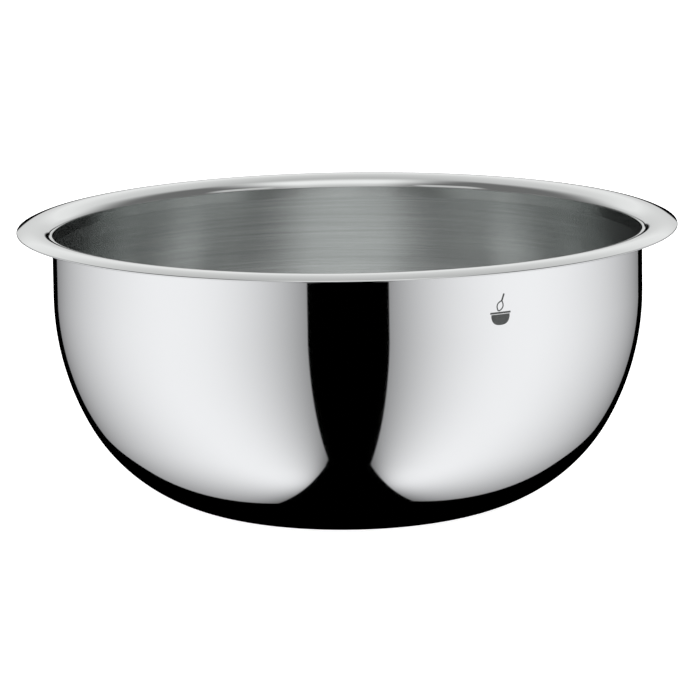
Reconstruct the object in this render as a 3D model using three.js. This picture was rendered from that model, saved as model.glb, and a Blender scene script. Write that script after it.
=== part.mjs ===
// A one-piece mixing bowl, deep-drawn from stainless steel sheet. Its brim is bent out from the
// same sheet and arched, and its base is a flat disc.
// Millimetres, +Z up. The origin is the centre of the face that the bowl rests on.

import * as THREE from 'three';

// Driving dimensions
const BODY_DIAMETER = 250;      // outside of the upright wall
const OVERALL_HEIGHT = 122.5;   // resting face to the crest of the brim
const BRIM_OVERHANG = 15;       // from the outside of the wall to the tip of the brim
const SHEET = 0.9;              // thickness of the steel, the same all over
const SHOULDER_RADIUS = 112;    // outside arc that runs down from the wall
const SHOULDER_SWEEP = 28.6;    // degrees that the shoulder arc turns through
const HEEL_RADIUS = 75;         // outside arc from the shoulder to the flat base
const BEND_RADIUS = 3.2;        // underside of the bend between wall and brim
const BRIM_SLOPE = 29;          // degrees that the brim's arch falls to, at its root and at its tip

// How finely the round shapes are faceted
const TURN_SEGMENTS = 72;
const SHOULDER_STEPS = 6;
const HEEL_STEPS = 8;
const BEND_STEPS = 3;
const ARCH_STEPS = 4;
const TIP_STEPS = 3;

const UP = Math.PI / 2;
const rad = THREE.MathUtils.degToRad;

// Points of an arc round (r, z), from one angle to another. An angle of 0 points away from the
// axis and UP points up.
function arc(r, z, radius, from, to, steps) {
  return Array.from({ length: steps + 1 }, (_, i) => {
    const angle = from + (to - from) * i / steps;
    return new THREE.Vector2(r + radius * Math.cos(angle), z + radius * Math.sin(angle));
  });
}

// One face of the sheet below the brim, from the flat base up to the end of the shoulder.
// The inset is how far that face lies inside the outside of the bowl.
function bodyFace(inset) {
  const sweep = rad(SHOULDER_SWEEP);
  const shoulder = { r: BODY_DIAMETER / 2 - SHOULDER_RADIUS };
  const heel = { z: HEEL_RADIUS };
  heel.r = shoulder.r + (SHOULDER_RADIUS - HEEL_RADIUS) * Math.cos(sweep);
  shoulder.z = heel.z + (SHOULDER_RADIUS - HEEL_RADIUS) * Math.sin(sweep);
  return [
    ...arc(heel.r, heel.z, HEEL_RADIUS - inset, -UP, -sweep, HEEL_STEPS),
    ...arc(shoulder.r, shoulder.z, SHOULDER_RADIUS - inset, -sweep, 0, SHOULDER_STEPS).slice(1),
  ];
}

// Centres and radii of the arcs that make the brim, on the middle of the sheet
function brimArcs() {
  const slope = rad(BRIM_SLOPE);
  const half = SHEET / 2;
  const wall = BODY_DIAMETER / 2 - half;
  const tip = BODY_DIAMETER / 2 + BRIM_OVERHANG - half;
  const bendRadius = BEND_RADIUS + half;
  const archRadius = (tip - wall - bendRadius * (1 - Math.sin(slope))) / (2 * Math.sin(slope));
  const arch = {
    r: tip - archRadius * Math.sin(slope),
    z: OVERALL_HEIGHT - half - archRadius,
    radius: archRadius,
  };
  const bend = {
    r: wall + bendRadius,
    z: arch.z + (archRadius - bendRadius) * Math.cos(slope),
    radius: bendRadius,
  };
  return { slope, arch, bend };
}

// One face of the brim, from the wall out to the tip. The lift is how far that face lies above
// the middle of the sheet.
function brimFace(lift) {
  const { slope, arch, bend } = brimArcs();
  return [
    ...arc(bend.r, bend.z, bend.radius + lift, 2 * UP, UP + slope, BEND_STEPS),
    ...arc(arch.r, arch.z, arch.radius + lift, UP + slope, UP - slope, ARCH_STEPS).slice(1),
  ];
}

// The rounded tip, from the underside to the top
function brimTip() {
  const { slope, arch } = brimArcs();
  const r = arch.r + arch.radius * Math.sin(slope);
  const z = arch.z + arch.radius * Math.cos(slope);
  return arc(r, z, SHEET / 2, -UP - slope, UP - slope, TIP_STEPS).slice(1, -1);
}

// The whole section: out and up the underside, round the tip, and back down the inside
function bowlSection() {
  const under = [...bodyFace(0), ...brimFace(-SHEET / 2)];
  const inside = [...bodyFace(SHEET), ...brimFace(SHEET / 2)].reverse();
  return [new THREE.Vector2(0, 0), ...under, ...brimTip(), ...inside, new THREE.Vector2(0, SHEET)];
}

const polishedSteel = new THREE.MeshStandardMaterial({ color: 0xd2d4d4, roughness: 0.12, metalness: 1 });

const bowl = new THREE.Mesh(new THREE.LatheGeometry(bowlSection(), TURN_SEGMENTS), polishedSteel);
bowl.name = 'bowl';
bowl.rotation.x = UP;

const part = new THREE.Group();
part.add(bowl);

export default part;
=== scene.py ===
"""The looks of a one-piece mixing bowl, deep-drawn from stainless steel sheet.

It is mirror polished outside and on the brim, and satin brushed round the inside. Metres, +Z up,
with the origin at the centre of the face that the bowl rests on.
"""

import math

import bpy
import numpy as np
from bpy.props import FloatProperty, FloatVectorProperty, IntProperty, PointerProperty
from bpy.types import Operator, Panel, PropertyGroup
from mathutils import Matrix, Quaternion, Vector


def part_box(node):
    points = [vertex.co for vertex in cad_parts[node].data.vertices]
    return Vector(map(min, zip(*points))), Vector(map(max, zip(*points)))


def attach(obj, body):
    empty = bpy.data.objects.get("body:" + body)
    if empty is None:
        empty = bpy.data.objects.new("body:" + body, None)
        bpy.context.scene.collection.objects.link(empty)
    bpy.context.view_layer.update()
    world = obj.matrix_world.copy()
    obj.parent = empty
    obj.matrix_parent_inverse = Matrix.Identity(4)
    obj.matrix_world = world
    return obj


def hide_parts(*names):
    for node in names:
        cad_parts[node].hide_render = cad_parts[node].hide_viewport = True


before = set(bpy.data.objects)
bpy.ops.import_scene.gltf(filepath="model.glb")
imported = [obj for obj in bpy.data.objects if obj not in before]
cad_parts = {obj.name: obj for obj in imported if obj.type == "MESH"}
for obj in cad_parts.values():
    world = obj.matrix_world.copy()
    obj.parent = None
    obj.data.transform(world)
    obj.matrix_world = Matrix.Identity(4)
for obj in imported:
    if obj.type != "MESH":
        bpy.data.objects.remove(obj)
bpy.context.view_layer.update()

bl_info = {
    "name": "Mixing Bowl",
    "version": (1, 0, 0),
    "blender": (4, 5, 0),
    "location": "3D View > Sidebar > Mixing Bowl",
    "description": "Makes a polished and brushed steel mixing bowl, and the studio round it",
    "category": "Add Mesh",
}

CAD_NODE = "bowl"
CAD_LOW, CAD_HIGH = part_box(CAD_NODE)

FULL_TURN = 2 * math.pi
UP = math.pi / 2
DEGREE = math.radians(1)
WHITE = (1.0, 1.0, 1.0)


# ---------------------------------------------------------------- sizes and colours


def length(name, description, default):
    """A length property in metres."""
    return FloatProperty(name=name, description=description, default=default, precision=5,
                         subtype="DISTANCE", unit="LENGTH")


def turn(name, description, degrees):
    """An angle property, whose default is given in degrees."""
    return FloatProperty(name=name, description=description, default=math.radians(degrees),
                         subtype="ANGLE", unit="ROTATION")


def share(name, description, default):
    """A plain number, from none to all of something or a level of light."""
    return FloatProperty(name=name, description=description, default=default, min=0, precision=3)


def paint(name, description, default):
    """A colour property."""
    return FloatVectorProperty(name=name, description=description, default=default, size=3,
                               min=0, max=1, subtype="COLOR")


class ShellSizes(PropertyGroup):
    """The bowl's own sizes, which are those of its CAD solid."""
    overall_height: length("Overall height", "Resting face to the crest of the brim",
                           CAD_HIGH[2] - CAD_LOW[2])
    brim_diameter: length("Brim diameter", "Across the tips of the brim", CAD_HIGH[0] - CAD_LOW[0])
    body_diameter: length("Body diameter", "Outside of the upright wall", 0.250)
    sheet: length("Sheet", "Thickness of the steel", 0.0009)
    shoulder_radius: length("Shoulder radius", "Outside arc that runs down from the wall", 0.112)
    shoulder_sweep: turn("Shoulder sweep", "Angle that the shoulder arc turns through", 28.6)
    heel_radius: length("Heel radius", "Outside arc from the shoulder to the flat base", 0.075)
    bend_radius: length("Bend radius", "Underside of the bend between wall and brim", 0.0032)
    brim_slope: turn("Brim slope", "What the brim's arch falls to at its root and tip", 29.0)
    around: IntProperty(name="Steps around", description="Faces round the bowl", default=360,
                        min=24, max=384)


class SteelFinish(PropertyGroup):
    """How the steel is coloured, polished and brushed."""
    polished_colour: paint("Polished colour", "Mirror polished steel", (0.800, 0.808, 0.803))
    satin_colour: paint("Satin colour", "Brushed steel", (0.716, 0.734, 0.728))
    polished_roughness: share("Polished roughness", "Blur of the mirror polish", 0.035)
    satin_roughness: share("Satin roughness", "Blur of the brushed finish", 0.20)
    scratch_spacing: length("Scratch spacing", "From one brush line to the next", 0.00026)
    scratch_length: length("Scratch length", "How far a brush line runs on", 0.055)
    scratch_depth: length("Scratch depth", "Depth of the brush lines", 0.000005)
    satin_fade: length("Satin fade", "Height over which the brushing dies out round the bend", 0.0018)


class MarkSizes(PropertyGroup):
    """The small etched pictogram of a bowl and whisk on the wall."""
    bearing: turn("Bearing", "Round from the front to the right", 29.55)
    height_up: length("Height up", "Resting face to the middle of the mark", 0.1027)
    width: length("Width", "Across the pictured bowl", 0.0096)
    tall: length("Tall", "From the pictured bowl's foot to the tip of the whisk", 0.0128)
    proud: length("Proud", "How far the etch stands off the wall", 0.00003)
    colour: paint("Etch colour", "Dark oxide of the etch", (0.085, 0.090, 0.088))


class StudioSettings(PropertyGroup):
    """The light tent, the floor and the camera."""
    floor_colour: paint("Floor colour", "Plain pale floor", (0.95, 0.95, 0.95))
    panel_level: share("Panel level", "Brightest part of the side panels", 1.06)
    overhead_level: share("Overhead level", "Everything above the horizon", 1.0)
    front_gap: turn("Front gap", "Half the dark gap between the side panels at the camera", 15.6)
    back_gap: turn("Back gap", "Half the dark gap between the side panels at the back", 23.0)
    camera_place: FloatVectorProperty(name="Camera place", description="Where the camera stands",
                                      default=(0.0, -2.2595, 0.4902), subtype="TRANSLATION",
                                      unit="LENGTH", precision=5)
    camera_aim: FloatVectorProperty(name="Camera aim", description="The point that it looks at",
                                    default=(0.0005, 0.0, 0.0665), subtype="TRANSLATION",
                                    unit="LENGTH", precision=5)
    camera_roll: turn("Camera roll", "Tilt of the camera about its own line of sight", -0.84)
    lens: FloatProperty(name="Lens", description="Focal length on a 36 mm sensor",
                        default=277.6, subtype="DISTANCE_CAMERA", unit="CAMERA")


class BowlSettings(PropertyGroup):
    """Everything that can be changed about the bowl."""
    shell: PointerProperty(type=ShellSizes)
    steel: PointerProperty(type=SteelFinish)
    mark: PointerProperty(type=MarkSizes)
    studio: PointerProperty(type=StudioSettings)


# ---------------------------------------------------------------- shader nodes


def math_operator(operation, reflected=False):
    """A method for one of Python's two-sided operators, which adds a Math node."""
    def method(wire, other):
        inputs = (other, wire) if reflected else (wire, other)
        return wire.maths(operation, *inputs)
    return method


class Wire:
    """A node's output. Python's own operators on it add Math nodes."""

    def __init__(self, board, socket):
        self.board = board
        self.socket = socket

    def maths(self, operation, *inputs):
        """A Math node on the given inputs."""
        return self.board.add("ShaderNodeMath", {"operation": operation}, dict(enumerate(inputs)))

    __add__ = math_operator("ADD")
    __radd__ = math_operator("ADD", reflected=True)
    __sub__ = math_operator("SUBTRACT")
    __rsub__ = math_operator("SUBTRACT", reflected=True)
    __mul__ = math_operator("MULTIPLY")
    __rmul__ = math_operator("MULTIPLY", reflected=True)
    __truediv__ = math_operator("DIVIDE")
    __rtruediv__ = math_operator("DIVIDE", reflected=True)
    __pow__ = math_operator("POWER")
    __gt__ = math_operator("GREATER_THAN")
    __lt__ = math_operator("LESS_THAN")

    def __neg__(self):
        return self.maths("MULTIPLY", self, -1.0)

    def __abs__(self):
        return self.maths("ABSOLUTE", self)

    def at_least(self, low):
        """The value, or low where it is smaller."""
        return self.maths("MAXIMUM", self, low)

    def step_up(self, start, end):
        """0 before start, 1 after end, and a smooth climb between them."""
        return self.board.add("ShaderNodeMapRange", {"interpolation_type": "SMOOTHSTEP"},
                              {"Value": self, "From Min": start, "From Max": end})

    def hump(self, rise_from, rise_to, fall_from, fall_to):
        """0, a smooth climb to 1, a level stretch and a smooth fall back to 0."""
        return self.step_up(rise_from, rise_to) * (1 - self.step_up(fall_from, fall_to))


class Board:
    """A node tree that nodes are added to."""

    def __init__(self, tree):
        self.tree = tree
        self.tree.nodes.clear()

    def add(self, kind, settings=None, inputs=None, out=0):
        """A node of a kind: its settings first, then the values or wires of its sockets.

        A setting named stops fills a ramp with (place, colour) pairs. It gives back the output
        that out names, as a wire, or nothing for a node without outputs.
        """
        node = self.tree.nodes.new(kind)
        for name, value in (settings or {}).items():
            if name == "stops":
                self.fill_ramp(node.color_ramp, value)
            else:
                setattr(node, name, value)
        for name, value in (inputs or {}).items():
            if isinstance(value, Wire):
                self.tree.links.new(value.socket, node.inputs[name])
            else:
                node.inputs[name].default_value = value
        return Wire(self, node.outputs[out]) if len(node.outputs) else None

    @staticmethod
    def fill_ramp(ramp, stops):
        """Puts (place, colour) pairs on a ramp in place of its own two stops."""
        while len(ramp.elements) < len(stops):
            ramp.elements.new(1.0)
        for element, (place, colour) in zip(ramp.elements, stops):
            element.position = place
            element.color = colour

    def split(self, vector):
        """The x, y and z of a vector."""
        first = self.add("ShaderNodeSeparateXYZ", None, {0: vector})
        return [Wire(self, socket) for socket in first.socket.node.outputs]

    def join(self, x, y, z):
        """A vector of three values."""
        return self.add("ShaderNodeCombineXYZ", None, {0: x, 1: y, 2: z})

    def noise(self, vector, scale, detail, roughness):
        """Noise from 0 to 1 that is read at a vector. Its scale is its humps per unit of length."""
        return self.add("ShaderNodeTexNoise", None, {"Vector": vector, "Scale": scale,
                                                     "Detail": detail, "Roughness": roughness})

    def blend(self, mask, low, high):
        """The low colour where the mask is 0 and the high colour where it is 1."""
        return self.add("ShaderNodeMix", {"data_type": "RGBA"}, {0: mask, 6: low, 7: high}, out=2)

    def bump(self, height, distance, strength=1.0, normal=None):
        """A surface normal that is tilted by a height map, whose full height is a distance."""
        inputs = {"Height": height, "Distance": distance, "Strength": strength}
        if normal is not None:
            inputs["Normal"] = normal
        return self.add("ShaderNodeBump", None, inputs)


def new_material(name):
    """An empty node material and the board of its nodes."""
    material = bpy.data.materials.new(name)
    material.use_nodes = True
    return material, Board(material.node_tree)


def finish_material(board, **sockets):
    """Ends a material in a Principled BSDF with the given sockets, whose names have _ for space."""
    named = {name.replace("_", " "): value for name, value in sockets.items()}
    shader = board.add("ShaderNodeBsdfPrincipled", None, named)
    board.add("ShaderNodeOutputMaterial", None, {"Surface": shader})


def opaque(colour, level=1.0):
    """A colour with its alpha, every channel times a level."""
    return (*[channel * level for channel in colour], 1.0)


# ---------------------------------------------------------------- materials


def ring_place(board, where, line_length, line_spacing, mid_radius):
    """Where a point lies for lines that run round the bowl, in line lengths and line spacings.

    The bearing enters as its cosine and sine, so that a line runs on over the full turn, and the
    place along the section is radius + height, which grows all the way from the centre of the
    floor to the brim.
    """
    on_axis = 1e-5
    x, y, z = board.split(where)
    radius = ((x * x + y * y) ** 0.5).at_least(on_axis)
    turns = mid_radius / line_length
    along = radius + z
    return board.join(x / radius * turns, y / radius * turns, along / line_spacing)


def polished_steel(finish):
    """Mirror polish: hair-fine lines left by the buff, a faint haze and a very slight waviness."""
    line_length, line_spacing, line_depth, mid_radius = 0.09, 0.0006, 0.0000003, 0.12
    wave_scale, wave_height = 14.0, 0.00001
    haze_scale, smear_scale = 22.0, 160.0
    darkest, lightest = 0.985, 1.015
    clearest, haze_share, smear_share, line_share = 0.55, 0.5, 0.25, 0.3

    material, board = new_material("mirror_polished_steel")
    where = board.add("ShaderNodeTexCoord", out="Object")
    rings = ring_place(board, where, line_length, line_spacing, mid_radius)
    buff_lines = board.noise(rings, 1.0, detail=4.0, roughness=0.6)
    haze = board.noise(where, haze_scale, detail=4.0, roughness=0.55)
    smear = board.noise(where, smear_scale, detail=2.0, roughness=0.5)
    waviness = board.noise(where, wave_scale, detail=1.0, roughness=0.4)
    tone = board.blend(haze, opaque(finish.polished_colour, darkest),
                       opaque(finish.polished_colour, lightest))
    blur = clearest + haze_share * haze + smear_share * smear + line_share * buff_lines
    normal = board.bump(waviness, wave_height)
    normal = board.bump(buff_lines, line_depth, strength=0.6, normal=normal)
    finish_material(board, Base_Color=tone, Metallic=1.0,
                    Roughness=finish.polished_roughness * blur, Normal=normal)
    return material


def satin_steel(finish, sizes):
    """Satin brushing that runs round the inside.

    Long thin lines at three spacings lighten and darken the steel and blur it more or less, and
    the two finer ones cut into its surface. They die out under the bend, where the polish of the
    brim begins.
    """
    below_crest = 0.0017
    hair_share, streak_share, band_share = 0.6, 0.3, 0.1
    dark_grain, light_grain = 0.34, 0.66
    darkest, lightest = 0.90, 1.07
    clearest, grain_share = 0.78, 0.44
    # How many times blurrier the polish is where the brushing starts, and how many times deeper
    # the streaks cut than the hairs.
    bend_haze, streak_cut = 3, 1.5

    material, board = new_material("satin_brushed_steel")
    where = board.add("ShaderNodeTexCoord", out="Object")
    mid_radius = sizes.body_diameter / 2

    def brush_lines(longer, wider):
        """Lines that are so many times as long, and as far apart, as the finest ones."""
        rings = ring_place(board, where, finish.scratch_length * longer,
                           finish.scratch_spacing * wider, mid_radius)
        return board.noise(rings, 1.0, detail=2.0, roughness=0.5)

    hair, streak, band = brush_lines(1, 1), brush_lines(3, 4), brush_lines(7, 14)
    _, _, height = board.split(where)
    top = sizes.overall_height - below_crest
    brushed = 1 - height.step_up(top - finish.satin_fade, top)
    grain = hair_share * hair + streak_share * streak + band_share * band
    tone = board.blend(grain.step_up(dark_grain, light_grain),
                       opaque(finish.satin_colour, darkest), opaque(finish.satin_colour, lightest))
    blur = finish.satin_roughness * (clearest + grain_share * grain)
    roughness = finish.polished_roughness * bend_haze * (1 - brushed) + blur * brushed
    normal = board.bump(hair * brushed, finish.scratch_depth)
    normal = board.bump(streak * brushed, finish.scratch_depth * streak_cut, normal=normal)
    finish_material(board, Base_Color=tone, Metallic=1.0, Roughness=roughness, Normal=normal,
                    Anisotropic=0.85, Anisotropic_Rotation=0.25)
    return material


def etched_steel(mark):
    """The dark matt oxide of an etched mark, a little uneven, with a fine pitting."""
    fleck_scale, cloud_scale = 2600.0, 420.0
    fleck_share, cloud_share = 0.6, 0.4
    dark_fleck, light_fleck = 0.3, 0.7
    darkest, lightest = 0.75, 1.3
    smoothest, fleck_blur, pit_depth = 0.48, 0.12, 0.000004

    material, board = new_material("etched_steel")
    where = board.add("ShaderNodeTexCoord", out="Object")
    fleck = board.noise(where, fleck_scale, detail=3.0, roughness=0.6)
    cloud = board.noise(where, cloud_scale, detail=2.0, roughness=0.5)
    mask = (fleck_share * fleck + cloud_share * cloud).step_up(dark_fleck, light_fleck)
    tone = board.blend(mask, opaque(mark.colour, darkest), opaque(mark.colour, lightest))
    finish_material(board, Base_Color=tone, Metallic=0.35,
                    Roughness=smoothest + fleck_blur * fleck, Normal=board.bump(fleck, pit_depth))
    return material


def floor_paper(colour):
    """White seamless paper: bright by itself, so that only a faint shadow lies under the bowl."""
    tooth_scale, darkest, glow = 900.0, 0.97, 0.72

    material, board = new_material("seamless_paper")
    where = board.add("ShaderNodeTexCoord", out="Object")
    tooth = board.noise(where, tooth_scale, detail=2.0, roughness=0.5)
    tone = board.blend(tooth, opaque(colour, darkest), opaque(colour))
    finish_material(board, Base_Color=tone, Roughness=0.9, Emission_Color=opaque(WHITE),
                    Emission_Strength=glow)
    return material


# ---------------------------------------------------------------- shapes


def arc(centre, radius, start, end, steps):
    """Points and outward directions of an arc: centre + radius * (cos a, sin a), a from start to end.

    The angle is 0 straight away from the bowl's axis and a quarter turn straight up.
    """
    angle = np.linspace(start, end, steps + 1)
    way = np.stack([np.cos(angle), np.sin(angle)], axis=1)
    return np.array(centre) + radius * way, way


def straight(start, end, way, steps):
    """Points between the ends of a straight line, without them, all with the same direction."""
    part = np.linspace(0, 1, steps + 1)[1:-1, None]
    points = np.array(start) * (1 - part) + np.array(end) * part
    return points, np.repeat([way], len(points), axis=0)


def bowl_section(sizes):
    """The bowl's closed section as (radius, height) points, each with the way that it faces.

    From the foot on the axis it runs out along the flat base, up the heel arc and the shoulder
    arc, up the straight wall, round the bend, over the brim's arch and round its tip, and back
    down the inside at the thickness of the sheet. The two faces of every arc share its centre, so
    the sheet is the same all over. The third result tells which points lie inside, under the bend.
    """
    base_steps, heel_steps, shoulder_steps, wall_steps = 9, 38, 24, 6
    bend_steps, arch_steps, tip_steps = 10, 24, 10
    half = sizes.sheet / 2
    body = sizes.body_diameter / 2
    sweep, slope = sizes.shoulder_sweep, sizes.brim_slope
    reach = sizes.shoulder_radius - sizes.heel_radius
    shoulder_r = body - sizes.shoulder_radius
    heel = (shoulder_r + reach * math.cos(sweep), sizes.heel_radius)
    shoulder = (shoulder_r, sizes.heel_radius + reach * math.sin(sweep))
    wall = body - half
    tip_r = sizes.brim_diameter / 2 - half
    bend_radius = sizes.bend_radius + half
    arch_radius = (tip_r - wall - bend_radius * (1 - math.sin(slope))) / (2 * math.sin(slope))
    arch = (tip_r - arch_radius * math.sin(slope), sizes.overall_height - half - arch_radius)
    bend = (wall + bend_radius, arch[1] + (arch_radius - bend_radius) * math.cos(slope))
    tip = (arch[0] + arch_radius * math.sin(slope), arch[1] + arch_radius * math.cos(slope))

    def body_face(inset):
        """The base, the heel and the shoulder at a depth in from the outside."""
        heel_arc = arc(heel, sizes.heel_radius - inset, -UP, -sweep, heel_steps)
        shoulder_radius = sizes.shoulder_radius - inset
        shoulder_arc = arc(shoulder, shoulder_radius, -sweep, 0, shoulder_steps)
        base = straight((0, inset), heel_arc[0][0], (0, -1), base_steps)
        return [base, heel_arc, [part[1:] for part in shoulder_arc]]

    def brim_face(lift):
        """The wall, the bend and the arch at a height over the middle of the sheet."""
        bend_arc = arc(bend, bend_radius + lift, 2 * UP, UP + slope, bend_steps)
        arch_arc = arc(arch, arch_radius + lift, UP + slope, UP - slope, arch_steps)
        foot = (wall - lift, shoulder[1])
        upright = straight(foot, bend_arc[0][0], (-1, 0), wall_steps)
        return [upright, bend_arc, [part[1:] for part in arch_arc]]

    outside = body_face(0) + [(points, -way) for points, way in brim_face(-half)]
    tip_arc = arc(tip, half, -UP - slope, UP - slope, tip_steps)
    round_tip = [part[1:-1] for part in tip_arc]
    inside_brim = [(points[::-1], way[::-1]) for points, way in reversed(brim_face(half))]
    inside_body = [(points[::-1], -way[::-1]) for points, way in reversed(body_face(sizes.sheet))]
    polished_runs = outside + [round_tip] + inside_brim[:2]
    satin_runs = inside_brim[2:] + inside_body
    runs = polished_runs + satin_runs
    points = np.concatenate([run[0] for run in runs])
    ways = np.concatenate([run[1] for run in runs])
    polished_count = sum(len(run[0]) for run in polished_runs)
    satin = np.arange(len(points)) >= polished_count
    return points, ways, satin


def turned_surface(points, ways, around):
    """A closed surface of revolution: each section point (r, z) goes to (r sin t, -r cos t, z).

    The two ends of the section close in one vertex each on the axis, with a fan of triangles, and
    everything between is a grid of quads. t runs the whole turn without a seam.
    """
    t = np.arange(around) * FULL_TURN / around
    sin, cos = np.sin(t), np.cos(t)
    r, z = points[:, :1], points[:, 1:]
    ring = np.stack([r * sin, -r * cos, z + 0 * sin], axis=2).reshape(-1, 3)
    way_r, way_z = ways[:, :1], ways[:, 1:]
    normals = np.stack([way_r * sin, -way_r * cos, way_z + 0 * sin], axis=2).reshape(-1, 3)
    low_pole, high_pole = len(ring), len(ring) + 1
    poles = np.array([[0, 0, points[0, 1]], [0, 0, points[-1, 1]]])
    vertices = np.concatenate([ring, poles])
    normals = np.concatenate([normals, [[0, 0, -1], [0, 0, 1]]])
    row = np.arange(len(points) - 1)[:, None] * around
    step = np.arange(around)
    after = (step + 1) % around
    quads = np.stack([row + step, row + after, row + around + after, row + around + step], axis=2)
    last = (len(points) - 1) * around
    foot_fan = np.stack([np.full(around, low_pole), after, step], axis=1)
    floor_fan = np.stack([np.full(around, high_pole), last + step, last + after], axis=1)
    return vertices, normals, quads.reshape(-1, 4), np.concatenate([foot_fan, floor_fan])


def mesh_object(name, vertices, quads, triangles=None, normals=None):
    """A smooth-shaded mesh object at the origin from arrays of vertices, quads and triangles."""
    triangles = np.zeros((0, 3), int) if triangles is None else triangles
    mesh = bpy.data.meshes.new(name)
    mesh.vertices.add(len(vertices))
    mesh.vertices.foreach_set("co", np.asarray(vertices, np.float32).ravel())
    corners = np.concatenate([quads.ravel(), triangles.ravel()]).astype(np.int32)
    starts = np.concatenate([np.arange(len(quads)) * 4,
                             len(quads) * 4 + np.arange(len(triangles)) * 3]).astype(np.int32)
    mesh.loops.add(len(corners))
    mesh.loops.foreach_set("vertex_index", corners)
    mesh.polygons.add(len(starts))
    mesh.polygons.foreach_set("loop_start", starts)
    mesh.update(calc_edges=True)
    mesh.validate()
    mesh.shade_smooth()
    if normals is not None:
        mesh.normals_split_custom_set_from_vertices(np.asarray(normals, np.float32).tolist())
    piece = bpy.data.objects.new(name, mesh)
    bpy.context.scene.collection.objects.link(piece)
    return piece


def thick_patch(across, up, radius, proud, bearing, height_up):
    """A thin closed patch that lies on the upright wall.

    across and up are grids of places in the flat picture, in metres. A place goes to the wall at
    the angle across / radius round from the bearing and at height_up + up. The grid is laid twice,
    once just inside the wall's face and once proud of it, and a rim of quads joins the two.
    """
    rows, columns = across.shape
    t = bearing + across / radius
    layers = []
    for stand in (-proud, proud):
        reach = radius + stand
        layers.append(np.stack([reach * np.sin(t), -reach * np.cos(t), height_up + up], axis=2))
    vertices = np.concatenate([layer.reshape(-1, 3) for layer in layers])
    place = np.arange(rows * columns).reshape(rows, columns)
    a, b, c, d = place[:-1, :-1], place[:-1, 1:], place[1:, 1:], place[1:, :-1]
    front = np.stack([a, b, c, d], axis=2).reshape(-1, 4) + rows * columns
    back = np.stack([a, d, c, b], axis=2).reshape(-1, 4)
    edge = np.concatenate([place[0, :-1], place[:-1, -1], place[-1, :0:-1], place[:0:-1, 0]])
    after = np.roll(edge, -1)
    rim = np.stack([edge, after, after + rows * columns, edge + rows * columns], axis=1)
    return vertices, np.concatenate([front, back, rim])


def stroke(path, width):
    """A flat ribbon along a path of (across, up) points: path +- width / 2 times its normal."""
    along = np.gradient(path, axis=0)
    along /= np.linalg.norm(along, axis=1)[:, None]
    side = np.stack([-along[:, 1], along[:, 0]], axis=1)
    offsets = np.linspace(-0.5, 0.5, 3)[:, None, None] * width
    grid = path[None] + offsets * side[None]
    return grid[..., 0], grid[..., 1]


def pictogram(mark):
    """The mark's flat pieces: a half-round bowl, its brim line, and a whisk with two wire loops.

    The bowl is flat on top, and its underside is the lower half of |u|^p + |v|^p = 1. The whisk
    stands on a leaning line from its root. Each loop strays from that line, to its own side, by
    a power of the sine of half a turn times how far along it is.
    """
    w, tall = mark.width, mark.tall
    line_width, wire_width, gap = w * 0.08, w * 0.055, w * 0.065
    foot, depth, half_width = -tall / 2, w * 0.46, w * 0.45
    roundness, thinnest = 2.6, 0.03
    lean_angle, loop_share = 0.37, 0.58
    bow_power, bow_width, bow_start = 0.8, 0.14, 0.004
    root_across, root_lift = w * -0.10, gap * 1.3
    columns, rows = 33, 5

    u = np.linspace(-1, 1, columns)[None, :]
    v = np.linspace(0, 1, rows)[:, None]
    fall = np.maximum(1 - np.abs(u) ** roundness, thinnest) ** (1 / roundness)
    bowl = (half_width * u + 0 * v, foot + depth * (1 - fall * (1 - v)))
    part = np.linspace(0, 1, columns)[:, None]
    brim_up = foot + depth + gap
    brim = stroke(np.array([-w / 2, brim_up]) + part * np.array([w, 0]), line_width)
    lean = np.array([math.sin(lean_angle), math.cos(lean_angle)])
    side = np.array([lean[1], -lean[0]])
    root = np.array([root_across, brim_up + root_lift])
    reach = (tall / 2 - root[1]) / lean[1]
    loop_reach = reach * loop_share
    handle = stroke(root + lean * (loop_reach + part * (reach - loop_reach)), line_width)
    bow = (np.sin(np.pi * part) ** bow_power * bow_width + bow_start) * w
    loops = [stroke(root + lean * (loop_reach * part) + way * side * bow, wire_width)
             for way in (1, -1)]
    return [bowl, brim, handle, *loops]


# ---------------------------------------------------------------- studio


def side_panels(studio, x, y, z, bearing, climb):
    """How bright it is below the horizon, where two panels stand at the sides.

    Each panel is brightest a little in front of the side, and falls away towards its front and
    back edges by a power of how far it is there, and towards the strip by an exponential. Low
    down, its back edge comes forward. Between the panels it is dark: at the front, at the back
    and in a strip underneath, which widens downwards and towards the back.
    """
    brightest = 75.0
    front_loss, front_power = 0.66, 2.4
    back_loss, back_power = 0.75, 1.7
    strip_lean, strip_spread, strip_taper = 0.012, 0.173, 0.125
    strip_loss, strip_blur = 0.55, 0.05
    tuck, tuck_from, tuck_to = 7.5, 18.0, 36.0

    front_edge = studio.front_gap / DEGREE
    back_edge = 180 - studio.back_gap / DEGREE
    to_front = ((brightest - bearing) / (brightest - front_edge)).at_least(0.0)
    to_back = ((bearing - brightest) / (back_edge - brightest)).at_least(0.0)
    fall = front_loss * to_front ** front_power + back_loss * to_back ** back_power
    over_strip = abs(x - strip_lean * z) + strip_spread * z - strip_taper * y
    near_strip = over_strip.maths("EXPONENT", over_strip.at_least(0.0) / -strip_blur)
    tucked_edge = back_edge - tuck * (-climb).step_up(tuck_from, tuck_to)
    panel = (bearing > front_edge) * (bearing < tucked_edge) * (over_strip > 0.0)
    light = panel * studio.panel_level * (1 - fall).at_least(0.0)
    return light * (1 - strip_loss * near_strip)


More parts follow.
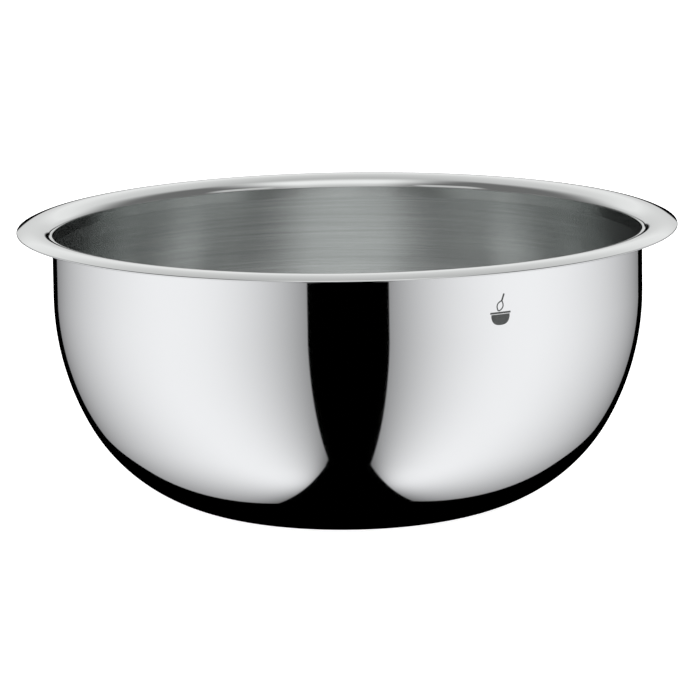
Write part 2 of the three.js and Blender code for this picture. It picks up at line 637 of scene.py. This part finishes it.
def overhead_panels(studio, board, x, y, z, bearing, climb):
    """How bright it is above the horizon.

    A ceiling panel runs over from the camera to the back, brightest at its middle and dim at its
    sides. Two pale cards stand low at the front left and the front right. At the back a backdrop
    takes over, whose grey follows the climb. over is the angle up and over from the camera, as
    seen from the side.
    """
    # The backdrop's grey at each climb in degrees.
    greys = [(0, 0.50), (6, 0.56), (10, 0.60), (17, 0.74), (24, 0.72), (35, 0.61), (61, 0.46),
             (90, 0.46)]
    backdrop_level, backdrop_foot = 1.25, (3.2, 4.8)
    front_grey, middle_gain, gain_over = 0.60, 0.43, (0.0, 60.0)
    back_drop, drop_over = 0.46, (68.0, 120.0)
    dim, middle, spread, narrowing, narrow_over = 0.18, 0.05, (0.20, 0.62), 0.2, (60.0, 100.0)
    card_level, card_bearing, card_climb = 0.64, (20.0, 34.0, 50.0, 66.0), (2.0, 12.0, 22.0, 38.0)
    back_bearing, back_climb = (95.0, 155.0), (58.0, 66.0)

    stops = [(at / 90, opaque((grey, grey, grey))) for at, grey in greys]
    ramp = board.add("ShaderNodeValToRGB", {"stops": stops}, {"Fac": climb / 90})
    backdrop = backdrop_level * ramp * climb.step_up(*backdrop_foot)
    over = z.maths("ARCTAN2", z, -y) / DEGREE
    soft_box = front_grey + middle_gain * over.step_up(*gain_over)
    soft_box = soft_box - back_drop * over.step_up(*drop_over)
    aside = abs(x - middle) * (1 + narrowing * over.step_up(*narrow_over))
    ceiling = dim + (soft_box - dim) * (1 - aside.step_up(*spread))
    cards = card_level * (bearing.hump(*card_bearing) * climb.hump(*card_climb))
    at_back = bearing.step_up(*back_bearing) * (1 - climb.step_up(*back_climb))
    light = ceiling.at_least(cards) * (1 - at_back) + backdrop * at_back
    return studio.overhead_level * light


def light_tent(studio):
    """The light that comes from each direction, as a world shader.

    Bearing is 0 towards the camera and half a turn at the back, the same on both sides, and climb
    is 0 at the horizon. Both are in degrees. Below the horizon the light is a touch bluer. The
    camera itself sees white all round.
    """
    tint_below, tint_above = (1.0, 1.0, 1.024), (0.992, 1.0, 0.998)
    paper_level = 1.1

    world = bpy.data.worlds.new("light_tent")
    bpy.context.scene.world = world
    world.use_nodes = True
    board = Board(world.node_tree)
    x, y, z = board.split(board.add("ShaderNodeTexCoord", out="Generated"))
    side = abs(x)
    bearing = side.maths("ARCTAN2", side, -y) / DEGREE
    climb = z.maths("ARCSINE", z) / DEGREE
    below = side_panels(studio, x, y, z, bearing, climb)
    above = overhead_panels(studio, board, x, y, z, bearing, climb)
    level = below * (z < 0.0) + above * (z > 0.0)
    tint = board.blend(z > 0.0, opaque(tint_below), opaque(tint_above))
    tent = board.add("ShaderNodeBackground", None, {"Color": tint, "Strength": level})
    paper = board.add("ShaderNodeBackground", None, {"Color": opaque(WHITE),
                                                     "Strength": paper_level})
    seen = board.add("ShaderNodeLightPath", out="Is Camera Ray")
    mixed = board.add("ShaderNodeMixShader", None, {0: seen, 1: tent, 2: paper})
    board.add("ShaderNodeOutputWorld", None, {"Surface": mixed})


def paper_floor(studio):
    """A flat square of paper just under the bowl: (reach u, reach v) for u and v from -1 to 1."""
    reach, drop, lines = 14.0, 0.0001, 9
    place = np.linspace(-reach, reach, lines)
    x, y = np.meshgrid(place, place)
    vertices = np.stack([x, y, np.full_like(x, -drop)], axis=2).reshape(-1, 3)
    at = np.arange(x.size).reshape(x.shape)
    quads = np.stack([at[:-1, :-1], at[:-1, 1:], at[1:, 1:], at[1:, :-1]], axis=2).reshape(-1, 4)
    floor = mesh_object("paper_floor", vertices, quads)
    floor.data.materials.append(floor_paper(studio.floor_colour))
    floor.visible_glossy = False
    return floor


def soft_overhead():
    """One wide, very soft light from above, for the paper and the faint shadow only."""
    lamp = bpy.data.lights.new("soft_overhead", "SUN")
    lamp.energy = 1.3
    lamp.angle = math.radians(100)
    light = bpy.data.objects.new("soft_overhead", lamp)
    light.visible_glossy = False
    bpy.context.scene.collection.objects.link(light)


def camera(studio):
    """The camera at its place, turned towards its aim and rolled about its line of sight."""
    data = bpy.data.cameras.new("camera")
    data.sensor_width = 36.0
    data.lens = studio.lens
    data.clip_end = 60.0
    view = bpy.data.objects.new("camera", data)
    place, aim = Vector(studio.camera_place), Vector(studio.camera_aim)
    look = (aim - place).to_track_quat("-Z", "Y")
    view.rotation_mode = "QUATERNION"
    view.rotation_quaternion = look @ Quaternion((0, 0, 1), studio.camera_roll)
    view.location = place
    bpy.context.scene.collection.objects.link(view)
    bpy.context.scene.camera = view


# ---------------------------------------------------------------- operators


class MakeShell(Operator):
    """Make the bowl's polished and brushed shell in place of its CAD solid"""
    bl_idname = "mixing_bowl.make_shell"
    bl_label = "Make Shell"

    def execute(self, context):
        bowl = context.scene.mixing_bowl
        points, ways, satin = bowl_section(bowl.shell)
        vertices, normals, quads, fans = turned_surface(points, ways, bowl.shell.around)
        shell = mesh_object("bowl_shell", vertices, quads, fans, normals)
        shell.data.materials.append(polished_steel(bowl.steel))
        shell.data.materials.append(satin_steel(bowl.steel, bowl.shell))
        brushed = np.concatenate([np.repeat(satin[1:] & satin[:-1], bowl.shell.around),
                                  np.zeros(bowl.shell.around, bool),
                                  np.ones(bowl.shell.around, bool)])
        shell.data.polygons.foreach_set("material_index", brushed.astype(np.int32))
        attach(shell, "root")
        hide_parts(CAD_NODE)
        return {"FINISHED"}


class MakeMark(Operator):
    """Make the small etched bowl-and-whisk mark on the wall"""
    bl_idname = "mixing_bowl.make_mark"
    bl_label = "Make Etched Mark"

    def execute(self, context):
        bowl = context.scene.mixing_bowl
        mark, radius = bowl.mark, bowl.shell.body_diameter / 2
        vertices, quads, count = [], [], 0
        for across, up in pictogram(mark):
            part, faces = thick_patch(across, up, radius, mark.proud, mark.bearing, mark.height_up)
            vertices.append(part)
            quads.append(faces + count)
            count += len(part)
        piece = mesh_object("etched_mark", np.concatenate(vertices), np.concatenate(quads))
        piece.data.shade_flat()
        piece.data.materials.append(etched_steel(mark))
        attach(piece, "root")
        return {"FINISHED"}


class MakeStudio(Operator):
    """Make the light tent, the paper floor and the camera"""
    bl_idname = "mixing_bowl.make_studio"
    bl_label = "Make Studio"

    def execute(self, context):
        studio = context.scene.mixing_bowl.studio
        light_tent(studio)
        paper_floor(studio)
        soft_overhead()
        camera(studio)
        context.scene.view_settings.view_transform = "Standard"
        return {"FINISHED"}


class BowlPanel(Panel):
    """The bowl's sizes, colours and buttons in the sidebar"""
    bl_idname = "VIEW3D_PT_mixing_bowl"
    bl_label = "Mixing Bowl"
    bl_space_type = "VIEW_3D"
    bl_region_type = "UI"
    bl_category = "Mixing Bowl"

    def draw(self, context):
        bowl = context.scene.mixing_bowl
        for operator, group in ((MakeShell, "shell"), (None, "steel"), (MakeMark, "mark"),
                                (MakeStudio, "studio")):
            box = self.layout.box()
            settings = getattr(bowl, group)
            for name in settings.__annotations__:
                box.prop(settings, name)
            if operator:
                box.operator(operator.bl_idname)


CLASSES = (ShellSizes, SteelFinish, MarkSizes, StudioSettings, BowlSettings, MakeShell, MakeMark,
           MakeStudio, BowlPanel)


def register():
    for item in CLASSES:
        bpy.utils.register_class(item)
    bpy.types.Scene.mixing_bowl = PointerProperty(type=BowlSettings)


def unregister():
    del bpy.types.Scene.mixing_bowl
    for item in reversed(CLASSES):
        bpy.utils.unregister_class(item)


def main():
    register()
    bpy.ops.mixing_bowl.make_shell()
    bpy.ops.mixing_bowl.make_mark()
    bpy.ops.mixing_bowl.make_studio()


if __name__ == "__main__":
    main()
